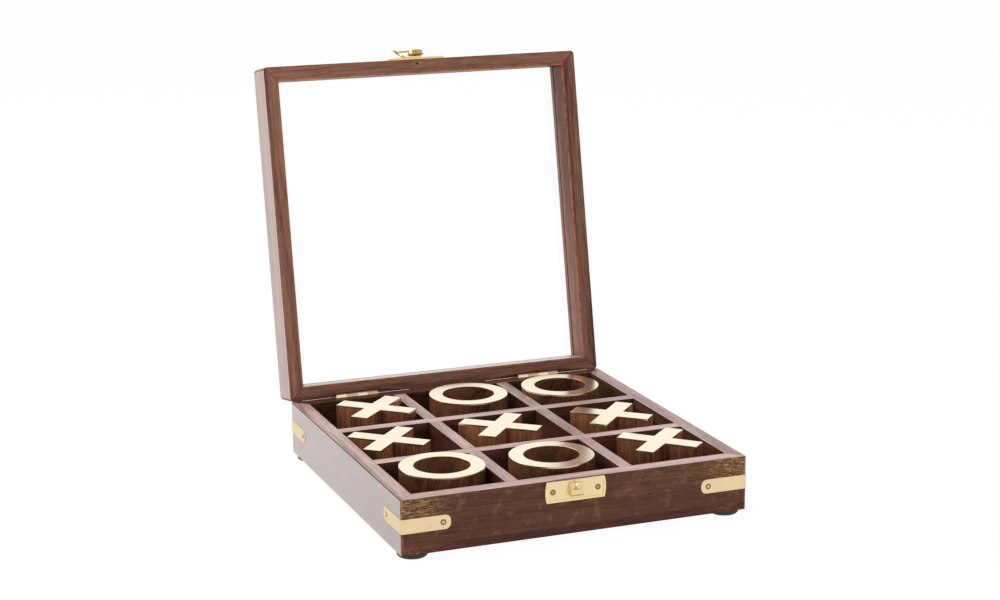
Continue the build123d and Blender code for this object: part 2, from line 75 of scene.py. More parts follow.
# The middle and the half size of the lid's saw cuts along Y and Z, with the lid shut
SAW_CUT_MIDDLE = np.array((-0.0022, 0.0018))
SAW_CUT_HALF = np.array((0.0017, 0.0008))

# The fineness of the wood's patterns, in cells per metre: its broad tone, growth lines, fibres and
# pores, then the ragged wear, the patches of specks, the specks and the weave across them
TONE_CELLS, LINE_CELLS, FIBRE_CELLS, PORE_CELLS = 45.0, 60.0, 1500.0, 2300.0
WEAR_CELLS, PATCH_CELLS, GRIT_CELLS, WEAVE_CELLS = 140.0, 22.0, 1700.0, 1500.0

# Where worn edges and mitre lines fade out and where they are full, as distances in metres
INNER_WEAR, LEVEL_WEAR, CORNER_WEAR = (0.0016, 0.0002), (0.0010, 0.0003), (0.0016, 0.0004)
OUTER_WEAR, SEAM_WIDTH = 0.0012, (0.00045, 0.00015)

PORE_TONE = (0.018, 0.009, 0.006)
# Dark tone of the mitre seams and the nail hole, also used as painted shade inside the lid's saw cuts
SEAM_AND_SHADE_TONE = (0.012, 0.006, 0.004)
CHIP_TONE = (0.60, 0.50, 0.38)

# The marks of a nail hole, the hole and the chip beside it: each one's shift along X, radius and colour
NAIL_MARKS = ((0.0, 0.0009, SEAM_AND_SHADE_TONE), (0.002, 0.0004, CHIP_TONE))


class Grain(Enum):
    """The turns about X, Y and Z, in degrees, that bring a board's fibres onto the X axis."""

    ALONG_X = (0.0, 0.0, 0.0)
    ALONG_Y = (0.0, 0.0, -90.0)
    UPRIGHT = (0.0, 90.0, 0.0)
    SLANTED = (0.0, 62.0, 0.0)


class Place(Enum):
    """Whether a piece is part of the box or of the lid, which leans back as it stands open."""

    BOX = "box"
    LID = "lid"


class Edge(Enum):
    """The material slots of a brass piece: its field and its rim."""

    FIELD = 0
    RIM = 1


class Side(Enum):
    """The faces of a board that can take a finish of their own."""

    LEFT = "left"
    TOP = "top"
    INNER = "inner"
    CUT = "cut"


class Graph:
    """A material's node tree, built node by node."""

    def __init__(self, name: str) -> None:
        """Starts an empty material.

        Args:
            name: The material's name.
        """
        self.material = bpy.data.materials.new(name)
        self.material.use_nodes = True
        self.tree = self.material.node_tree
        self.tree.nodes.clear()

    def node(self, kind: str, links: dict | None = None, **settings: object) -> bpy.types.Node:
        """Adds a node.

        Args:
            kind: The node's type, without the ShaderNode prefix.
            links: Input names or numbers, each with a socket to link or a plain value.
            **settings: The node's own properties.

        Returns:
            The new node.
        """
        made = self.tree.nodes.new("ShaderNode" + kind)
        for key, value in settings.items():
            setattr(made, key, value)
        for key, value in (links or {}).items():
            if isinstance(value, bpy.types.NodeSocket):
                self.tree.links.new(value, made.inputs[key])
            else:
                made.inputs[key].default_value = value
        return made

    def math(
        self, operation: str, first: object, second: object = 0.0, clamp: bool = False
    ) -> bpy.types.NodeSocket:
        """Adds a Math node and returns its value.

        Args:
            operation: The name of the operation.
            first: A socket or a number.
            second: A socket or a number.
            clamp: Whether the value is kept between 0 and 1.

        Returns:
            The value's socket.
        """
        return self.node("Math", {0: first, 1: second}, operation=operation, use_clamp=clamp).outputs[0]

    def spread(
        self, value: object, low: float, high: float, to_low: float = 0.0, to_high: float = 1.0
    ) -> bpy.types.NodeSocket:
        """Maps a value smoothly from one range to another.

        Args:
            value: The socket that is mapped.
            low: The value that becomes to_low.
            high: The value that becomes to_high.
            to_low: The result at low.
            to_high: The result at high.

        Returns:
            The mapped value's socket.
        """
        links = {"Value": value, "From Min": low, "From Max": high, "To Min": to_low, "To Max": to_high}
        return self.node("MapRange", links, interpolation_type="SMOOTHSTEP").outputs["Result"]

    def blend(self, share: object, first: object, second: object, way: str = "MIX") -> bpy.types.NodeSocket:
        """Mixes two colours.

        Args:
            share: How much of the second colour there is.
            first: A colour socket or a colour.
            second: A colour socket or a colour.
            way: The blend type.

        Returns:
            The mixed colour's socket.
        """
        mixer = self.node("Mix", data_type="RGBA", blend_type=way)
        for key, value in ((0, share), (6, first), (7, second)):
            if isinstance(value, bpy.types.NodeSocket):
                self.tree.links.new(value, mixer.inputs[key])
            elif key == 0:
                mixer.inputs[key].default_value = value
            else:
                mixer.inputs[key].default_value = (*value, 1.0)
        return mixer.outputs[2]

    def noise(
        self, vector: object, scale: float, detail: float = 3.0, roughness: float = 0.5, warp: float = 0.0
    ) -> bpy.types.NodeSocket:
        """Adds a noise pattern.

        Args:
            vector: The coordinates it reads.
            scale: Its fineness, in cells per metre.
            detail: How many finer layers it has.
            roughness: How strong the finer layers are.
            warp: How far it is distorted.

        Returns:
            The pattern's value socket.
        """
        links = {"Vector": vector, "Scale": scale, "Detail": detail, "Roughness": roughness}
        links["Distortion"] = warp
        return self.node("TexNoise", links).outputs["Fac"]

    def mapped(
        self,
        vector: object,
        scale: Point = (1.0, 1.0, 1.0),
        turn: Point = (0.0, 0.0, 0.0),
        shift: Point = (0.0, 0.0, 0.0),
    ) -> bpy.types.NodeSocket:
        """Scales, turns and shifts coordinates, in that order.

        Args:
            vector: The coordinates.
            scale: The scale along each axis.
            turn: The turn about each axis, in radians.
            shift: The shift along each axis.

        Returns:
            The new coordinates' socket.
        """
        links = {"Vector": vector, "Location": shift, "Rotation": turn, "Scale": scale}
        return self.node("Mapping", links).outputs[0]

    def own(self, place: Place) -> bpy.types.NodeSocket:
        """Object coordinates about the box's centre, or about the hinge line of the lid as it lies shut.

        Args:
            place: Where the piece is.

        Returns:
            The coordinates' socket.
        """
        plain = self.node("TexCoord").outputs["Object"]
        if place is Place.BOX:
            return self.mapped(plain, shift=tuple(-BOX_ORIGIN))
        shut = LID_POSE.inverted()
        return self.mapped(plain, turn=(OPEN_ANGLE, 0.0, 0.0), shift=tuple(shut.translation))

    def finish(self, shader: bpy.types.NodeSocket) -> bpy.types.Material:
        """Links the finished shader to the output.

        Args:
            shader: The shader's socket.

        Returns:
            The material.
        """
        self.node("OutputMaterial", {"Surface": shader})
        return self.material


@dataclass(frozen=True)
class WoodFinish:
    """Oiled dark hardwood: tone, growth lines, fibres, pores, worn specks and worn edges.

    Attributes:
        name: The material's name.
        dark: The colour of the dark growth lines.
        light: The colour of the wood between them.
        place: The frame that the grain lies in.
        grain: The direction of the fibres.
        line_spacing: The distance between growth lines, in metres.
        line_share: How strong the growth lines are.
        contrast: How strongly the single fibres show.
        speck: The colour of the specks where the stain is worn off.
        speck_share: How strong the specks are, from 0 to 1.
        speck_high: The level above which specks are strong, in metres, in the piece's frame.
        speck_ends: How far from the middle the specks lie close together.
        edge: The colour of the worn edges.
        edge_share: How strong the worn edges are.
        edge_inner: The half width of the square at which the inner edge runs, or 0 for none.
        edge_level: The level at which the inner edge runs.
        edge_outer: The half width of the square at which the outer edge runs, or 0 for none.
        middle: The square's centre along Y.
        mitre_share: How dark the mitre lines are.
        nail_hole: The place of a nail hole along X and Y, or nothing.
        low_tone: The colour of a band along the piece's lower edge.
        low_share: How strong that band is.
        low_high: The level at which the band has faded, in metres, in the piece's frame.
        roughness: The surface's mean roughness.
        sheen: How pale the oiled surface looks at a glancing angle.
        gloss: The level of its plain reflection.
        coat: How strong the varnish on it is.
        seed: Shifts the pattern, so that boards differ.
    """

    name: str
    dark: Colour = (0.045, 0.021, 0.013)
    light: Colour = (0.105, 0.050, 0.030)
    place: Place = Place.BOX
    grain: Grain = Grain.ALONG_X
    line_spacing: float = 0.004
    line_share: float = 0.28
    contrast: float = 1.8
    speck: Colour = (0.50, 0.29, 0.105)
    speck_share: float = 0.0
    speck_high: float = 0.02
    speck_ends: float = 0.065
    edge: Colour = (0.34, 0.13, 0.06)
    edge_share: float = 0.5
    edge_inner: float = 0.0
    edge_level: float = 0.00095
    edge_outer: float = 0.1
    middle: float = 0.0
    mitre_share: float = 0.0
    nail_hole: tuple[float, float] | None = None
    low_tone: Colour = (0.13, 0.045, 0.032)
    low_share: float = 0.0
    low_high: float = 0.012
    roughness: float = 0.40
    sheen: float = 0.0
    gloss: float = 0.12
    coat: float = 0.0
    seed: float = 0.0

    def make(self) -> bpy.types.Material:
        """Builds the material.

        Returns:
            The wood material.
        """
        graph = BoardGraph(self)
        fibres = graph.noise(graph.long_fibre, FIBRE_CELLS, 3.0, 0.65)
        pores = graph.spread(graph.noise(graph.short_fibre, PORE_CELLS, 2.0, 0.5), 0.62, 0.72)
        colour = self.bare_colour(graph, fibres, pores)
        colour = self.worn_colour(graph, colour)
        if self.speck_share:
            colour = self.specked_colour(graph, colour)
        if self.nail_hole:
            colour = self.nailed_colour(graph, colour)

        rough = graph.math("ADD", self.roughness - 0.06, graph.math("MULTIPLY", fibres, 0.12))
        height = graph.math("MULTIPLY", fibres, 0.5)
        height = graph.math("SUBTRACT", height, graph.math("MULTIPLY", pores, 0.8))
        bump = graph.node("Bump", {"Strength": 0.25, "Distance": 0.00012, "Height": height}).outputs[0]
        links = {
            "Base Color": colour,
            "Roughness": rough,
            "Normal": bump,
            "IOR": 1.5,
            "Specular IOR Level": self.gloss,
            "Sheen Weight": self.sheen,
            "Sheen Roughness": 0.45,
            "Sheen Tint": (1.0, 0.93, 0.90, 1.0),
            "Coat Weight": self.coat,
            "Coat Roughness": 0.28,
        }
        return graph.finish(graph.node("BsdfPrincipled", links).outputs[0])

    def bare_colour(
        self, graph: "BoardGraph", fibres: bpy.types.NodeSocket, pores: bpy.types.NodeSocket
    ) -> bpy.types.NodeSocket:
        """The unworn wood's colour: its broad tone, growth lines, fibres and pores.

        Args:
            graph: The material's nodes.
            fibres: The pattern of the fibres.
            pores: The pattern of the pores.

        Returns:
            The colour's socket.
        """
        tone = graph.spread(graph.noise(graph.long_fibre, TONE_CELLS, 3.0, 0.55, 0.3), 0.32, 0.68)
        wander = graph.noise(graph.long_fibre, LINE_CELLS, 4.0, 0.6, 0.8)
        rings = graph.math("SINE", graph.math("MULTIPLY", wander, 0.02 / self.line_spacing * 6.283))
        lines = graph.math("MULTIPLY", graph.spread(rings, -0.4, 1.0), self.line_share)
        shade = graph.math("ADD", graph.math("MULTIPLY", tone, 0.6), lines)
        strands = graph.math("MULTIPLY", graph.math("SUBTRACT", fibres, 0.5), self.contrast)
        shade = graph.math("ADD", shade, strands, clamp=True)
        colour = graph.blend(shade, self.dark, self.light)
        return graph.blend(graph.math("MULTIPLY", pores, 0.55), colour, PORE_TONE)

    def worn_colour(self, graph: "BoardGraph", colour: bpy.types.NodeSocket) -> bpy.types.NodeSocket:
        """Adds the mitre lines, the band along the lower edge and the worn edges.

        Args:
            graph: The material's nodes.
            colour: The colour so far.

        Returns:
            The new colour's socket.
        """
        level = graph.axes[2]
        if self.mitre_share:
            joint = graph.math("ABSOLUTE", graph.math("SUBTRACT", graph.across, graph.along))
            seam = graph.math("MULTIPLY", graph.spread(joint, *SEAM_WIDTH), self.mitre_share)
            colour = graph.blend(seam, colour, SEAM_AND_SHADE_TONE)
        if self.low_share:
            band = graph.spread(level, self.low_high, self.low_high - 0.008)
            colour = graph.blend(graph.math("MULTIPLY", band, self.low_share), colour, self.low_tone)
        if self.edge_inner:
            near = graph.spread(graph.square, *(self.edge_inner + reach for reach in INNER_WEAR))
            low = graph.spread(level, *(self.edge_level + reach for reach in LEVEL_WEAR))
            wear = graph.math("MULTIPLY", near, low)
            wear = graph.math("MULTIPLY", wear, graph.spread(graph.ragged, 0.36, 0.56))
            colour = graph.blend(graph.math("MULTIPLY", wear, self.edge_share), colour, self.edge)
        if self.edge_outer:
            near = graph.spread(graph.square, self.edge_outer - OUTER_WEAR, self.edge_outer)
            wear = graph.math("MULTIPLY", near, graph.spread(graph.ragged, 0.52, 0.70))
            colour = graph.blend(graph.math("MULTIPLY", wear, self.edge_share * 0.4), colour, self.edge)
            upright = graph.spread(graph.corner, *(self.edge_outer - reach for reach in CORNER_WEAR))
            wear = graph.math("MULTIPLY", upright, graph.spread(graph.ragged, 0.36, 0.56))
            colour = graph.blend(graph.math("MULTIPLY", wear, self.edge_share), colour, self.edge)
        return colour

    def specked_colour(self, graph: "BoardGraph", colour: bpy.types.NodeSocket) -> bpy.types.NodeSocket:
        """Adds the worn specks, which lie close together at the corners and high up.

        Args:
            graph: The material's nodes.
            colour: The colour so far.

        Returns:
            The new colour's socket.
        """
        ends = graph.spread(graph.corner, self.speck_ends, self.speck_ends + 0.03)
        patch = graph.spread(graph.noise(graph.place, PATCH_CELLS, 3.0, 0.6), 0.48, 0.68, 0.0, 0.4)
        patch = graph.math("MAXIMUM", ends, patch)
        high = graph.spread(graph.axes[2], self.speck_high - 0.012, self.speck_high + 0.006, 0.06, 1.0)
        cross_fibre = graph.mapped(graph.turned, scale=(1.0, 1.0, 0.3))
        grit = graph.spread(graph.noise(graph.short_fibre, GRIT_CELLS, 3.0, 0.75), 0.49, 0.64)
        weave = graph.spread(graph.noise(cross_fibre, WEAVE_CELLS, 2.0, 0.7), 0.52, 0.68, 0.0, 0.7)
        grit = graph.math("MAXIMUM", grit, weave)
        worn = graph.math("MULTIPLY", graph.math("MULTIPLY", patch, high), grit)
        return graph.blend(graph.math("MULTIPLY", worn, self.speck_share), colour, self.speck)

    def nailed_colour(self, graph: "BoardGraph", colour: bpy.types.NodeSocket) -> bpy.types.NodeSocket:
        """Adds the nail hole and the chip beside it.

        Args:
            graph: The material's nodes.
            colour: The colour so far.

        Returns:
            The new colour's socket.
        """
        for shift, radius, tone in NAIL_MARKS:
            aside = graph.math("SUBTRACT", graph.axes[0], self.nail_hole[0] + shift)
            ahead = graph.math("SUBTRACT", graph.axes[1], self.nail_hole[1])
            squares = graph.math("ADD", graph.math("POWER", aside, 2.0), graph.math("POWER", ahead, 2.0))
            away = graph.math("SQRT", squares)
            colour = graph.blend(graph.spread(away, radius, radius * 0.5), colour, tone)
        return colour


class BoardGraph(Graph):
    """A wood's node tree, with the coordinates that its patterns share.

    Attributes:
        place: The piece's coordinates in its own frame.
        turned: The same, with the fibres on the X axis.
        long_fibre: The same, drawn out along the fibres.
        short_fibre: The same, drawn out less.
        axes: The piece's X, Y and Z coordinates.
        across: The distance from the middle along X.
        along: The distance from the square's middle along Y.
        square: The greater of these two.
        corner: The lesser of these two.
        ragged: The pattern that makes worn edges ragged.
    """

    def __init__(self, finish: WoodFinish) -> None:
        """Sets the coordinates up.

        Args:
            finish: The wood's finish.
        """
        super().__init__(finish.name)
        self.place = self.own(finish.place)
        turn = tuple(math.radians(angle) for angle in finish.grain.value)
        self.turned = self.mapped(self.place, turn=turn, shift=(finish.seed, finish.seed * 0.37, 0.0))
        self.long_fibre = self.mapped(self.turned, scale=(0.05, 1.0, 1.0))
        self.short_fibre = self.mapped(self.turned, scale=(0.12, 1.0, 1.0))
        self.axes = self.node("SeparateXYZ", {0: self.place}).outputs
        self.across = self.math("ABSOLUTE", self.axes[0])
        self.along = self.math("ABSOLUTE", self.math("SUBTRACT", self.axes[1], finish.middle))
        self.square = self.math("MAXIMUM", self.across, self.along)
        self.corner = self.math("MINIMUM", self.across, self.along)
        self.ragged = self.noise(self.place, WEAR_CELLS, 4.0, 0.7)


@dataclass(frozen=True)
class BrassFinish:
    """Brass, with a brushed direction, faint stains and small scratches.

    Attributes:
        name: The material's name.
        colour: The metal's colour.
        stain: The colour of its tarnish.
        stain_share: How strong the tarnish is.
        roughness: Its mean roughness.
        place: The frame that the brushing lies in.
        brush: How much the brushing shows in the roughness.
    """

    name: str
    colour: Colour = (0.83, 0.66, 0.36)
    stain: Colour = (0.45, 0.26, 0.08)
    stain_share: float = 0.25
    roughness: float = 0.24
    place: Place = Place.BOX
    brush: float = 0.10

    def make(self) -> bpy.types.Material:
        """Builds the material.

        Returns:
            The brass material.
        """
        graph = Graph(self.name)
        own = graph.own(self.place)
        brushed = graph.noise(graph.mapped(own, scale=(0.04, 1.0, 1.0)), 5200.0, 2.0, 0.6)
        cloud = graph.spread(graph.noise(own, 160.0, 4.0, 0.65, 0.4), 0.50, 0.78)
        fleck = graph.spread(graph.noise(own, 700.0, 2.0, 0.5), 0.66, 0.74)
        stained = graph.math("MULTIPLY", graph.math("MAXIMUM", cloud, fleck), self.stain_share)
        colour = graph.blend(stained, self.colour, self.stain)
        rough = graph.math("MULTIPLY", brushed, self.brush)
        rough = graph.math("ADD", self.roughness - self.brush / 2, rough)
        rough = graph.math("ADD", rough, graph.math("MULTIPLY", cloud, self.brush * 0.6))
        bump = graph.node("Bump", {"Strength": 0.05, "Distance": 0.00002, "Height": brushed}).outputs[0]
        links = {
            "Base Color": colour,
            "Metallic": 1.0,
            "Roughness": rough,
            "Normal": bump,
        }
        return graph.finish(graph.node("BsdfPrincipled", links).outputs[0])


@dataclass(frozen=True)
class GlassFinish:
    """Clear float glass that lets the lamps through.

    Attributes:
        name: The material's name.
        tint: The colour that light takes on inside it.
    """

    name: str = "clear_pane"
    tint: Colour = (0.995, 0.999, 0.997)

    def make(self) -> bpy.types.Material:
        """Builds the material.

        Returns:
            The glass material.
        """
        graph = Graph(self.name)
        links = {"Base Color": (*self.tint, 1.0), "Roughness": 0.0, "IOR": 1.45}
        links["Transmission Weight"] = 1.0
        pane = graph.node("BsdfPrincipled", links).outputs[0]
        clear = graph.node("BsdfTransparent", {"Color": (*self.tint, 1.0)}).outputs[0]
        path = graph.node("LightPath").outputs
        lamp_ray = graph.math("MAXIMUM", path["Is Shadow Ray"], path["Is Diffuse Ray"])
        lamp_ray = graph.math("MAXIMUM", lamp_ray, path["Is Glossy Ray"])
        return graph.finish(graph.node("MixShader", {0: lamp_ray, 1: pane, 2: clear}).outputs[0])


@dataclass(frozen=True)
class FootFinish:
    """Black moulded rubber with a fine mottle.

    Attributes:
        name: The material's name.
        colour: The rubber's colour.
    """

    name: str = "black_rubber"
    colour: Colour = (0.012, 0.012, 0.013)

    def make(self) -> bpy.types.Material:
        """Builds the material.

        Returns:
            The rubber material.
        """
        graph = Graph(self.name)
        own = graph.own(Place.BOX)
        mottle = graph.noise(own, 900.0, 3.0, 0.6)
        colour = graph.blend(graph.math("MULTIPLY", mottle, 0.6), self.colour, (0.035, 0.034, 0.034))
        rough = graph.math("ADD", 0.48, graph.math("MULTIPLY", mottle, 0.25))
        bump = graph.node("Bump", {"Strength": 0.2, "Distance": 0.0001, "Height": mottle}).outputs[0]
        links = {"Base Color": colour, "Roughness": rough, "Normal": bump}
        return graph.finish(graph.node("BsdfPrincipled", links).outputs[0])


def dress(names: list[str], material: bpy.types.Material) -> None:
    """Gives CAD nodes one material.

    Args:
        names: The nodes' names.
        material: Their material.
    """
    for name in names:
        mesh = frame["nodes"][name].data
        mesh.materials.clear()
        mesh.materials.append(material)
        log.info("dressed %s in %s", name, material.name)


def dress_board(
    name: str, finish: WoodFinish, sides: dict[Side, WoodFinish], place: Place = Place.BOX
) -> None:
    """Gives a board its wood, with finishes of their own on some of its faces.

    Args:
        name: The board's node.
        finish: The finish of its plain faces.
        sides: The finishes of its other faces. Where two name a face, the later one holds.
        place: Where the board is.
    """
    mesh = frame["nodes"][name].data
    count = len(mesh.polygons)
    normals, centres = np.empty(count * 3), np.empty(count * 3)
    mesh.polygons.foreach_get("normal", normals)
    mesh.polygons.foreach_get("center", centres)
    normals, centres = normals.reshape(-1, 3), centres.reshape(-1, 3)
    if place is Place.LID:
        shut = LID_POSE.inverted()
        normals = normals @ np.array(shut.to_3x3()).T
        centres = centres @ np.array(shut.to_3x3()).T + np.array(shut.translation)
    chosen = {
        Side.LEFT: normals[:, 0] < -0.99,
        Side.TOP: normals[:, 2] > 0.99,
        Side.INNER: normals[:, 1] < -0.99,
        Side.CUT: np.all(np.abs(centres[:, 1:] - SAW_CUT_MIDDLE) < SAW_CUT_HALF, axis=1),
    }
    slots = np.zeros(count, dtype=int)
    mesh.materials.clear()
    mesh.materials.append(finish.make())
    for number, (side, other) in enumerate(sides.items(), start=1):
        slots[chosen[side]] = number
        mesh.materials.append(other.make())
    mesh.polygons.foreach_set("material_index", slots)
    log.info("dressed %s in %s and %d more finishes", name, finish.name, len(sides))


def turned_surface(profile: np.ndarray, rims: set[int], segments: int) -> Surface:
    """A profile turned about Z: x = r cos a, y = r sin a, z = h, for each point (r, h) and angle a.

    Args:
        profile: Radii and heights, in order, with the material on the left of the way along it.
        rims: The profile's stretches that take the rim material, by number.
        segments: How many angles there are round the axis.

    Returns:
        The points, the faces and each face's material slot.
    """
    angle = np.linspace(0.0, 2.0 * np.pi, segments, endpoint=False)
    radius, height = profile[:, :1], profile[:, 1:]
    points = np.stack([radius * np.cos(angle), radius * np.sin(angle), height + 0.0 * angle], axis=-1)
    stretch, step = np.meshgrid(np.arange(len(profile) - 1), np.arange(segments), indexing="ij")
    here = stretch * segments + step
    beside = stretch * segments + (step + 1) % segments
    faces = np.stack([here, beside, beside + segments, here + segments], axis=-1).reshape(-1, 4)
    slots = np.isin(stretch.ravel(), sorted(rims)).astype(int)
    return points.reshape(-1, 3), [tuple(face) for face in faces.tolist()], slots.tolist()


def plus_outline(reach: float, half_bar: float) -> np.ndarray:
    """The twelve corners of a plus sign, counter-clockwise from the right arm's lower corner.

    Args:
        reach: How far its arms reach from the centre.
        half_bar: Half the width of its arms.

    Returns:
        The corners, one per row.
    """
    arm = np.array([(reach, -half_bar), (reach, half_bar), (half_bar, half_bar)])
    quarter = np.array([(0.0, -1.0), (1.0, 0.0)])
    arms = [arm]
    for _ in range(3):
        arms.append(arms[-1] @ quarter.T)
    return np.concatenate(arms)


def plus_surface(reach: float, half_bar: float, height: float, bevel: float) -> Surface:
    """A flat plus sign with a bevelled top edge: outlines at three levels, each inset from the last.

    Args:
        reach: How far its arms reach from the centre.
        half_bar: Half the width of its arms.
        height: Its thickness.
        bevel: The width and height of the bevel.

    Returns:
        The points, the faces and each face's material slot.
    """
    levels = ((0.0, 0.0), (0.0, height - bevel), (bevel, height))
    outlines = [plus_outline(reach - inset, half_bar - inset) for inset, _ in levels]
    points = np.concatenate(
        [np.column_stack([outline, np.full(12, level)]) for outline, (_, level) in zip(outlines, levels)]
    )
    faces: list[tuple[int, ...]] = []
    slots: list[int] = []
    for ring, slot in ((0, Edge.FIELD.value), (1, Edge.RIM.value)):
        for corner in range(12):
            here, beside = ring * 12 + corner, ring * 12 + (corner + 1) % 12
            faces.append((here, beside, beside + 12, here + 12))
            slots.append(slot)
    patches = ((0, 1, 2, 11), (2, 3, 4, 5), (5, 6, 7, 8), (8, 9, 10, 11), (2, 5, 8, 11))
    for patch in patches:
        faces.append(tuple(24 + corner for corner in patch))
        faces.append(tuple(reversed(patch)))
        slots += [Edge.FIELD.value, Edge.FIELD.value]
    return points, faces, slots


def add_piece(
    name: str,
    surfaces: list[tuple[Surface, Matrix]],
    materials: list[bpy.types.Material],
    smooth: bool = False,
) -> bpy.types.Object:
    """Makes one object from surfaces, each set in its place, with its own origin at the scene's.

    Args:
        name: The object's name.
        surfaces: The surfaces and the places they are moved to.
        materials: The materials of the slots that the surfaces name.
        smooth: Whether the faces are shaded as one curve.

    Returns:
        The new object.
    """
    points: list[np.ndarray] = []
    faces: list[tuple[int, ...]] = []
    slots: list[int] = []
    count = 0
    for (own_points, own_faces, own_slots), place in surfaces:
        turn = np.array(place.to_3x3())
        points.append(own_points @ turn.T + np.array(place.translation))
        faces += [tuple(count + corner for corner in face) for face in own_faces]
        slots += own_slots
        count += len(own_points)
    mesh = bpy.data.meshes.new(name)
    mesh.from_pydata(np.concatenate(points).tolist(), [], faces)
    for material in materials:
        mesh.materials.append(material)
    mesh.polygons.foreach_set("material_index", slots)
    mesh.polygons.foreach_set("use_smooth", [smooth] * len(faces))
    mesh.validate()
    made = bpy.data.objects.new(name, mesh)
    bpy.context.scene.collection.objects.link(made)
    log.info("built %s with %d faces", name, len(faces))
    return made


@dataclass
class BoxCase:
    """The fixed box: base board, four walls, four dividers and four feet.

    Attributes:
        red_dark: The dark tone of the base board.
        red_light: The light tone of the base board.
        varnish: What sets the varnished left faces apart.
        painted_sheen_top: What sets the top faces apart. Their pale pinkish colours are painted sheen: the
            glare of the tops at a glancing angle.
    """

    red_dark: Colour = (0.050, 0.016, 0.012)
    red_light: Colour = (0.130, 0.044, 0.032)
    varnish: Change = field(default_factory=lambda: {"sheen": 0.6, "gloss": 0.3, "coat": 1.0})
    # The pale pinkish colours below are painted sheen: the glare of the top faces at a glancing angle, put into
    # their colour.
    painted_sheen_top: Change = field(
        default_factory=lambda: {
            "dark": (0.13, 0.066, 0.056),
            "light": (0.47, 0.315, 0.295),
            "gloss": 0.3,
            "coat": 0.3,
            "speck_share": 0.0,
            "edge_share": 0.0,
            "low_share": 0.0,
        }
    )

    def dress(self) -> None:
        """Gives every board its own grain and the feet their rubber."""
        base = WoodFinish(
            "base_wood",
            dark=self.red_dark,
            light=self.red_light,
            speck=(0.42, 0.24, 0.08),
            speck_share=0.3,
            speck_high=-0.01,
            edge_share=0.3,
            seed=0.7,
        )
        left = replace(base, name="base_wood_left", **self.varnish)
        dress_board("base_board", base, {Side.LEFT: left})
        # The tops of the front, right and left walls take the painted sheen; the rear wall's top keeps the
        # plain wood.
        walls = {
            "front": (Grain.ALONG_X, 0.9, 0.11, 0.5, {Side.TOP: self.painted_sheen_top}),
            "right": (Grain.ALONG_Y, 0.1, 0.23, 0.0, {Side.TOP: self.painted_sheen_top}),
            "rear": (Grain.ALONG_X, 0.0, 0.41, 0.0, {}),
            "left": (Grain.ALONG_Y, 0.0, 0.57, 0.0, {Side.LEFT: self.varnish, Side.TOP: self.painted_sheen_top}),
        }
        for name, (grain, specks, seed, low_share, sides) in walls.items():
            finish = WoodFinish(
                f"wall_wood_{name}",
                dark=(0.036, 0.013, 0.008),
                light=(0.124, 0.051, 0.029),
                grain=grain,
                speck_share=specks,
                low_share=low_share,
                edge=(0.45, 0.21, 0.09),
                mitre_share=0.35,
                seed=seed,
            )
            others = {}
            for side, change in sides.items():
                others[side] = replace(finish, name=f"{finish.name}_{side.value}", **change)
            dress_board(f"wall_{name}", finish, others)
        tone = {"dark": (0.040, 0.014, 0.009), "light": (0.130, 0.050, 0.032), "edge_outer": 0.0}
        dividers = {
            "across": (Grain.ALONG_X, 0.83, ("front", "rear")),
            "along": (Grain.ALONG_Y, 0.29, ("left", "right")),
        }
        for way, (grain, seed, names) in dividers.items():
            finish = WoodFinish(f"divider_wood_{way}", grain=grain, seed=seed, **tone)
            # The divider tops take the painted sheen: pale colours for their glare at a glancing angle.
            top = replace(finish, name=f"{finish.name}_top", **self.painted_sheen_top)
            for name in names:
                dress_board(f"divider_{way}_{name}", finish, {Side.TOP: top})
        dress([f"foot_{corner}" for corner in CORNERS], FootFinish().make())


@dataclass
class Lid:
    """The lid: four mitred rails round a glass pane.

    Attributes:
        middle: The lid's centre along Y in its shut frame, in metres.
        opening: Half the width of the opening.
        nail_hole: The place of a nail hole in the front rail.
    """

    middle: float = -0.1004
    opening: float = 0.0915
    nail_hole: tuple[float, float] = (-0.0036, -0.1979)

    def dress(self) -> None:
        """Gives the rails their grain and the pane its glass."""
        rails = {
            "front": (Grain.ALONG_X, 0.13),
            "right": (Grain.ALONG_Y, 0.37),
            "rear": (Grain.ALONG_X, 0.59),
            "left": (Grain.ALONG_Y, 0.91),
        }
        for name, (grain, seed) in rails.items():
            finish = WoodFinish(
                f"lid_wood_{name}",
                dark=(0.075, 0.028, 0.017),
                light=(0.290, 0.135, 0.090),
                place=Place.LID,
                grain=grain,
                edge_inner=self.opening,
                edge=(0.42, 0.13, 0.05),
                edge_share=0.8,
                middle=self.middle,
                mitre_share=0.7,
                nail_hole=self.nail_hole if name == "front" else None,
                seed=seed,
            )
            others = {}
            satin = replace(finish, sheen=0.4, gloss=0.3)
            if name == "left":
                others[Side.LEFT] = replace(satin, name="lid_wood_left_side", coat=0.6)
            if name == "rear":
                others[Side.INNER] = replace(satin, name="lid_wood_rear_inner", coat=1.0)
                # The saw cut's faces are painted near black: painted shade inside the slot, not the wood's
                # colour.
                cut = {"dark": SEAM_AND_SHADE_TONE, "light": (0.030, 0.014, 0.010), "gloss": 0.0}
                others[Side.CUT] = replace(finish, name="saw_cut_painted_shade", **cut)
            dress_board(f"lid_rail_{name}", finish, others, Place.LID)
        dress(["glass_pane"], GlassFinish().make())


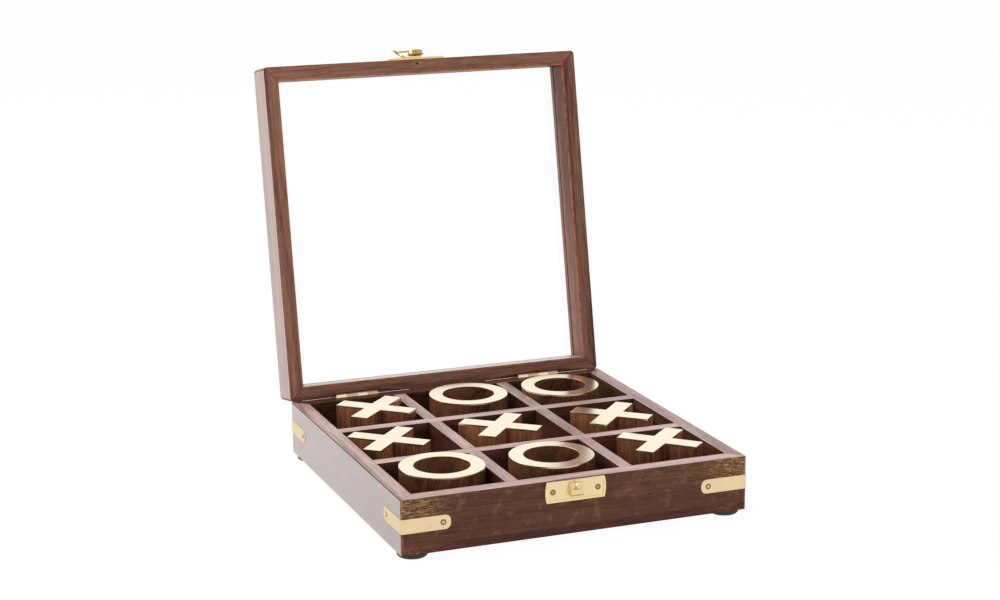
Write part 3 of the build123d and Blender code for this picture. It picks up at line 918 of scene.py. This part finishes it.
@dataclass
class Fasteners:
    """The domed pins of the straps and plates, and the hinges' slotted screws.

    Attributes:
        pin_inset: How far the strap pins are from the straps' ends, in millimetres.
        plate_pitch: The distance between a plate's two pins.
        plate_thickness: The thickness of the plates' field.
        screw_span: The distance between the two hinges.
        screw_pitch: The distance between the screws of one leaf.
        leaf_half: Half a leaf's thickness.
    """

    pin_inset: float = 4.2
    plate_pitch: float = 26.0
    plate_thickness: float = 0.8
    screw_span: float = 118.0
    screw_pitch: float = 17.0
    leaf_half: float = 0.4

    def pin_surface(self) -> Surface:
        """A low dome that rises from a shallow ring, whose dark material is painted shade of the dimple round
        the pin.
        """
        profile = [(1.60, 0.00), (1.56, 0.07), (1.10, 0.05), (0.92, 0.06)]
        profile += [(0.92 * math.cos(a), 0.08 + 0.46 * math.sin(a)) for a in np.linspace(0.1, 1.57, 7)]
        return turned_surface(np.array(profile) * MM, {0, 1, 2}, 40)

    def screw_surface(self) -> Surface:
        """A low domed head: the slot is where the distance from the X axis is under its half width."""
        profile = np.array([(1.68 * math.cos(a), 0.62 * math.sin(a)) for a in np.linspace(0.0, 1.5, 16)])
        points, faces, slots = turned_surface(profile * MM, set(), 72)
        in_slot = np.abs(points[:, 1]) < 0.24 * MM
        points[:, 2] = np.where(in_slot, np.minimum(points[:, 2], 0.22 * MM), points[:, 2])
        return points, faces, slots

    def on_face(self, x: float, y: float, z: float, outward: Point) -> Matrix:
        """A place on a face, whose Z is the outward direction.

        Args:
            x: The place along X, in metres.
            y: The place along Y.
            z: The place along Z.
            outward: The face's outward direction.

        Returns:
            The place.
        """
        turn = Vector(outward).to_track_quat("Z", "Y").to_matrix().to_4x4()
        return Matrix.Translation((x, y, z)) @ turn

    def strap_places(self) -> list[Matrix]:
        """The places of the eight strap pins, worked out from the straps."""
        places = []
        for name, (sx, sy) in zip(CORNER_STRAPS, ((-1, -1), (1, -1), (1, 1), (-1, 1))):
            low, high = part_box(name)
            inset = self.pin_inset * MM
            level = (low.z + high.z) / 2
            outer_x, inner_x = (high.x, low.x + inset) if sx > 0 else (low.x, high.x - inset)
            outer_y, inner_y = (high.y, low.y + inset) if sy > 0 else (low.y, high.y - inset)
            places.append(self.on_face(inner_x, outer_y, level, (0.0, sy, 0.0)))
            places.append(self.on_face(outer_x, inner_y, level, (sx, 0.0, 0.0)))
        return places

    def plate_places(self, x: float, y: float, z: float, pose: Matrix) -> list[Matrix]:
        """The places of a plate's two pins.

        Args:
            x: The plate's middle along X, in metres.
            y: The level of its field.
            z: The plate's middle along Z.
            pose: The pose of the body that carries the plate.

        Returns:
            The two places.
        """
        half = self.plate_pitch / 2 * MM
        return [pose @ self.on_face(x + offset, y, z, (0.0, -1.0, 0.0)) for offset in (-half, half)]

    def screw_places(self, up: float, pose: Matrix) -> list[Matrix]:
        """The places of one body's four hinge screws.

        Args:
            up: 1 for the lid's leaves and -1 for the box's.
            pose: The pose of the hinge line's frame.

        Returns:
            The four places.
        """
        low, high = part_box("box_hinge_screws")
        row = HINGE_LINE.z - (low.z + high.z) / 2
        places = []
        for hinge in (-self.screw_span / 2, self.screw_span / 2):
            for offset in (-self.screw_pitch / 2, self.screw_pitch / 2):
                face = self.on_face((hinge + offset) * MM, self.leaf_half * MM, up * row, (0.0, 1.0, 0.0))
                slot_turn = Matrix.Rotation(0.5 + 40.0 * offset * MM + 9.0 * hinge * MM, 4, "Z")
                places.append(pose @ face @ slot_turn)
        return places

    def build(self) -> None:
        """Builds the fasteners and sets them in their places."""
        dome = BrassFinish("pin_brass", (0.66, 0.49, 0.28), stain_share=0.2, roughness=0.22).make()
        # The dark brass of the ring round each pin is painted shade of the dimple that the pin sits in.
        ring = BrassFinish("pin_ring_painted_shade", (0.18, 0.11, 0.055), stain_share=0.3, roughness=0.38).make()
        dull = BrassFinish("plate_pin_brass", (0.50, 0.35, 0.18), stain_share=0.3, roughness=0.35).make()
        head = BrassFinish("screw_brass", (0.80, 0.62, 0.34), stain_share=0.3, roughness=0.25).make()
        pin, screw = self.pin_surface(), self.screw_surface()
        latch_x = HOOK_JOINT["pos_m"][0]
        keeper_low, keeper_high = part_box("keeper_plate")
        field_y = keeper_high.y - self.plate_thickness * MM
        keeper = self.plate_places(latch_x, field_y, (keeper_low.z + keeper_high.z) / 2, Matrix.Identity(4))
        pivot = LID_POSE.inverted() @ Vector(HOOK_JOINT["pos_m"])
        latch = self.plate_places(latch_x, pivot.y - self.plate_thickness * MM, pivot.z, LID_POSE)
        box_screws = self.screw_places(-1.0, Matrix.Translation(HINGE_LINE))
        lid_screws = self.screw_places(1.0, LID_POSE)
        sets = (
            ("strap_pin_heads", self.strap_places(), pin, [dome, ring], "strap_pins", "box"),
            ("keeper_pin_heads", keeper, pin, [dull, ring], "keeper_pins", "box"),
            ("latch_plate_pin_heads", latch, pin, [dull, ring], "latch_plate_pins", "lid"),
            ("box_hinge_screw_heads", box_screws, screw, [head], "box_hinge_screws", "box"),
            ("lid_hinge_screw_heads", lid_screws, screw, [head], "lid_hinge_screws", "lid"),
        )
        for name, places, surface, materials, node, body in sets:
            surfaces = [(surface, place) for place in places]
            heads = add_piece(name, surfaces, materials, smooth=surface is pin)
            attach(heads, body)
            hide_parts(node)


@dataclass
class Brasswork:
    """Corner straps, plates, hinges, and the latch with its catch.

    Attributes:
        strap_colour: The colour of the corner straps.
        plate_colour: The colour of the keeper plate.
    """

    strap_colour: Colour = (0.80, 0.63, 0.38)
    plate_colour: Colour = (0.84, 0.68, 0.38)

    def dress(self) -> None:
        """Gives each brass node its metal."""
        lid = Place.LID
        metals = (
            (BrassFinish("strap_brass", self.strap_colour, stain_share=0.14, roughness=0.30), CORNER_STRAPS),
            (BrassFinish("plate_brass", self.plate_colour, stain_share=0.12, roughness=0.28), ["keeper_plate"]),
            (
                BrassFinish("upper_plate_brass", (0.80, 0.60, 0.28), stain_share=0.15, roughness=0.3),
                ["latch_plate"],
            ),
            (BrassFinish("catch_brass", (0.78, 0.62, 0.35), roughness=0.36), ["catch_block"]),
            (BrassFinish("ball_brass", (0.82, 0.62, 0.33), stain_share=0.1, roughness=0.3), ["ball_stud"]),
            (
                BrassFinish("latch_brass", (0.87, 0.68, 0.34), stain_share=0.12, roughness=0.2, place=lid),
                ["latch_hook", "latch_post"],
            ),
            (
                BrassFinish("knob_brass", (0.50, 0.34, 0.14), stain_share=0.2, roughness=0.3, place=lid),
                ["latch_knob"],
            ),
            (
                BrassFinish("box_leaf_brass", (0.85, 0.70, 0.46), stain_share=0.15, roughness=0.28),
                ["box_hinge_leaf_left", "box_hinge_leaf_right"],
            ),
            (
                BrassFinish("lid_leaf_brass", (0.58, 0.41, 0.24), stain_share=0.4, roughness=0.40),
                ["lid_hinge_leaf_left", "lid_hinge_leaf_right", "hinge_pins"],
            ),
        )
        for finish, names in metals:
            dress(names, finish.make())
        Fasteners().build()


@dataclass
class GamePieces:
    """The nine loose pieces: wooden rings and crosses with brass faces.

    Attributes:
        rings: The cells with a ring.
        turns: The cells with a cross, and its turn in degrees.
        bar: The width of a cross's arms, in millimetres.
        band: The width of a ring's band.
        bevel: The width of the faces' bevel.
        ring_tones: The dark and the light tone of the rings' wood.
        cross_tones: The dark and the light tone of the crosses' wood.
    """

    rings: tuple[str, ...] = ("rear_middle", "rear_right", "front_left", "front_middle")
    turns: dict[str, float] = field(
        default_factory=lambda: {
            "rear_left": 46.5,
            "middle_left": 47.8,
            "centre": 49.7,
            "middle_right": 47.0,
            "front_right": 44.1,
        }
    )
    bar: float = 10.4
    band: float = 8.1
    bevel: float = 0.12
    ring_tones: tuple[Colour, Colour] = ((0.034, 0.011, 0.006), (0.225, 0.088, 0.042))
    cross_tones: tuple[Colour, Colour] = ((0.070, 0.022, 0.012), (0.450, 0.175, 0.083))

    def wood(self, cell: str, number: int, grain: Grain) -> bpy.types.Material:
        """The wood of one piece's body.

        Args:
            cell: The piece's cell.
            number: The piece's number, which shifts the grain.
            grain: The direction of its fibres: slanted in a ring, upright in a cross.

        Returns:
            The material.
        """
        return WoodFinish(
            f"piece_wood_{cell}",
            dark=self.ring_tones[0] if grain is Grain.SLANTED else self.cross_tones[0],
            light=self.ring_tones[1] if grain is Grain.SLANTED else self.cross_tones[1],
            grain=grain,
            line_spacing=0.002,
            line_share=0.26,
            contrast=0.9,
            edge_outer=0.0,
            seed=0.17 * number + 0.05,
        ).make()

    def dress(self) -> None:
        """Dresses the wooden bodies and builds the brass faces."""
        face = BrassFinish(
            "face_brass", (0.99, 0.89, 0.67), (0.80, 0.58, 0.32), 0.06, roughness=0.20, brush=0.03
        ).make()
        rim = BrassFinish("face_edge_brass", (0.62, 0.40, 0.16), stain_share=0.2, roughness=0.35).make()
        bevel = self.bevel * MM
        number = 0
        for cell in self.rings:
            low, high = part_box(f"ring_{cell}_face")
            thickness = high.z - low.z
            outer = (high.x - low.x) / 2
            inner = outer - self.band * MM
            profile = [
                (outer, 0.0),
                (outer, thickness - bevel),
                (outer - bevel, thickness),
                (inner + bevel, thickness),
                (inner, thickness - bevel),
                (inner, 0.0),
                (outer, 0.0),
            ]
            surface = turned_surface(np.array(profile), {1, 3}, 192)
            self.add_face(f"ring_{cell}", surface, Matrix.Identity(4), [face, rim])
            dress([f"ring_{cell}_body"], self.wood(cell, number, Grain.SLANTED))
            number += 1
        for cell, turn in self.turns.items():
            low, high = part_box(f"cross_{cell}_face")
            share = abs(math.cos(math.radians(turn))), abs(math.sin(math.radians(turn)))
            reach = ((high.x - low.x) - self.bar * MM * min(share)) / 2 / max(share)
            surface = plus_surface(reach, self.bar / 2 * MM, high.z - low.z, bevel)
            turned = Matrix.Rotation(math.radians(turn), 4, "Z")
            self.add_face(f"cross_{cell}", surface, turned, [face, rim])
            dress([f"cross_{cell}_body"], self.wood(cell, number, Grain.UPRIGHT))
            number += 1

    def add_face(
        self, piece: str, surface: Surface, turn: Matrix, materials: list[bpy.types.Material]
    ) -> None:
        """Sets one brass face on its piece.

        Args:
            piece: The piece's name.
            surface: The face's surface.
            turn: How the face is turned.
            materials: The materials of its field and rim.
        """
        low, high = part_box(f"{piece}_face")
        place = Matrix.Translation(((low.x + high.x) / 2, (low.y + high.y) / 2, low.z)) @ turn
        made = add_piece(f"{piece}_brass", [(surface, place)], materials)
        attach(made, piece)
        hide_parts(f"{piece}_face")


@dataclass
class Studio:
    """A pale floor, a white surround and soft lamps, placed about the box's centre.

    Attributes:
        floor_half: Half the floor's width.
        dome: The strength of the surround's light.
    """

    floor_half: float = 30.0
    dome: float = 0.60

    def build(self) -> None:
        """Makes the floor, the surround and the lamps."""
        self.make_floor()
        self.make_surround()
        self.add_panel("panel_left_rear", (-1.0, 0.75, 0.85), (0.9, 0.9), 14.0, mirrored=True)
        self.add_panel("panel_above", (-0.3, 0.2, 1.5), (1.4, 1.4), 16.0, mirrored=False)
        self.add_panel("panel_front", (0.9, -1.4, 0.9), (1.2, 0.9), 7.0, mirrored=False)

    def make_floor(self) -> None:
        """Makes the floor: a flat square, its corners one point in each quarter."""
        steps = np.linspace(-self.floor_half, self.floor_half, 2)
        x, y = np.meshgrid(steps, steps)
        points = np.column_stack([x.ravel(), y.ravel(), np.full(x.size, FLOOR_LEVEL)])
        mesh = bpy.data.meshes.new("floor")
        mesh.from_pydata(points.tolist(), [], [(0, 1, 3, 2)])
        floor = bpy.data.objects.new("floor", mesh)
        bpy.context.scene.collection.objects.link(floor)
        graph = Graph("floor_paint")
        path = graph.node("LightPath").outputs
        mirrored = graph.math("MAXIMUM", path["Is Glossy Ray"], path["Is Transmission Ray"])
        seen = graph.math("MAXIMUM", path["Is Camera Ray"], mirrored)
        lit = graph.node("BsdfDiffuse", {"Color": (0.85, 0.85, 0.85, 1.0)}).outputs[0]
        white = graph.node("Emission", {"Color": (1.0, 1.0, 1.0, 1.0), "Strength": 1.0}).outputs[0]
        share = graph.math("MULTIPLY", seen, 0.97)
        paint = graph.node("MixShader", {0: share, 1: lit, 2: white}).outputs[0]
        mesh.materials.append(graph.finish(paint))

    def make_surround(self) -> None:
        """Makes the world: white to look at, and plain soft light on the object."""
        world = bpy.data.worlds.new("surround")
        bpy.context.scene.world = world
        world.use_nodes = True
        tree = world.node_tree
        tree.nodes.clear()
        path = tree.nodes.new("ShaderNodeLightPath")
        first = tree.nodes.new("ShaderNodeMath")
        second = tree.nodes.new("ShaderNodeMath")
        for chooser in (first, second):
            chooser.operation = "MAXIMUM"
        tree.links.new(path.outputs["Is Camera Ray"], first.inputs[0])
        tree.links.new(path.outputs["Is Glossy Ray"], first.inputs[1])
        tree.links.new(first.outputs[0], second.inputs[0])
        tree.links.new(path.outputs["Is Transmission Ray"], second.inputs[1])
        level = tree.nodes.new("ShaderNodeMapRange")
        level.inputs["To Min"].default_value = self.dome
        level.inputs["To Max"].default_value = 1.0
        tree.links.new(second.outputs[0], level.inputs["Value"])
        glow = tree.nodes.new("ShaderNodeBackground")
        glow.inputs["Color"].default_value = (1.0, 1.0, 1.0, 1.0)
        tree.links.new(level.outputs[0], glow.inputs["Strength"])
        output = tree.nodes.new("ShaderNodeOutputWorld")
        tree.links.new(glow.outputs[0], output.inputs["Surface"])

    def add_panel(
        self, name: str, place: Point, size: tuple[float, float], power: float, mirrored: bool
    ) -> None:
        """Adds a soft rectangular lamp that faces the box.

        Args:
            name: The lamp's name.
            place: Its centre, from the middle of the box's underside.
            size: Its width and height.
            power: Its power in watts.
            mirrored: Whether it shows in reflections, where it can clip brass to white.
        """
        lamp = bpy.data.lights.new(name, "AREA")
        lamp.shape = "RECTANGLE"
        lamp.size, lamp.size_y = size
        lamp.energy = power
        holder = bpy.data.objects.new(name, lamp)
        holder.location = BOX_ORIGIN + Vector(place)
        direction = Vector((0.0, 0.0, 0.06)) - Vector(place)
        holder.rotation_euler = direction.to_track_quat("-Z", "Y").to_euler()
        holder.visible_camera = False
        holder.visible_glossy = mirrored
        bpy.context.scene.collection.objects.link(holder)


@dataclass(frozen=True)
class PhotoCamera:
    """The camera at the photograph's place.

    Attributes:
        place: Its position from the middle of the box's underside, in metres.
        right: The direction of the picture's right.
        up: The direction of the picture's top.
        back: The direction from the scene to the camera.
        lens: Its focal length on a 36 mm wide sensor, in millimetres.
    """

    place: Point = (-0.445706, -1.123158, 0.392210)
    right: Point = (0.93029, -0.36677, -0.00676)
    up: Point = (0.09074, 0.21222, 0.97300)
    back: Point = (-0.35543, -0.90578, 0.23071)
    lens: float = 79.225

    def build(self) -> None:
        """Makes the camera the scene's own."""
        data = bpy.data.cameras.new("photo_camera")
        data.sensor_width = 36.0
        data.lens = self.lens
        data.clip_start = 0.01
        camera = bpy.data.objects.new("photo_camera", data)
        turn = Matrix((self.right, self.up, self.back)).transposed().to_quaternion().to_matrix()
        camera.matrix_world = Matrix.Translation(BOX_ORIGIN + Vector(self.place)) @ turn.to_4x4()
        bpy.context.scene.collection.objects.link(camera)
        bpy.context.scene.camera = camera


def main() -> None:
    """Builds the parts of the picture in order."""
    logging.basicConfig(level=logging.INFO, format="%(name)s: %(message)s")
    bpy.context.scene.view_settings.view_transform = "Standard"
    PhotoCamera().build()
    Studio().build()
    for assembly in (BoxCase(), Lid(), Brasswork(), GamePieces()):
        assembly.dress()
        log.info("%s finished", type(assembly).__name__)


if __name__ == "__main__":
    main()
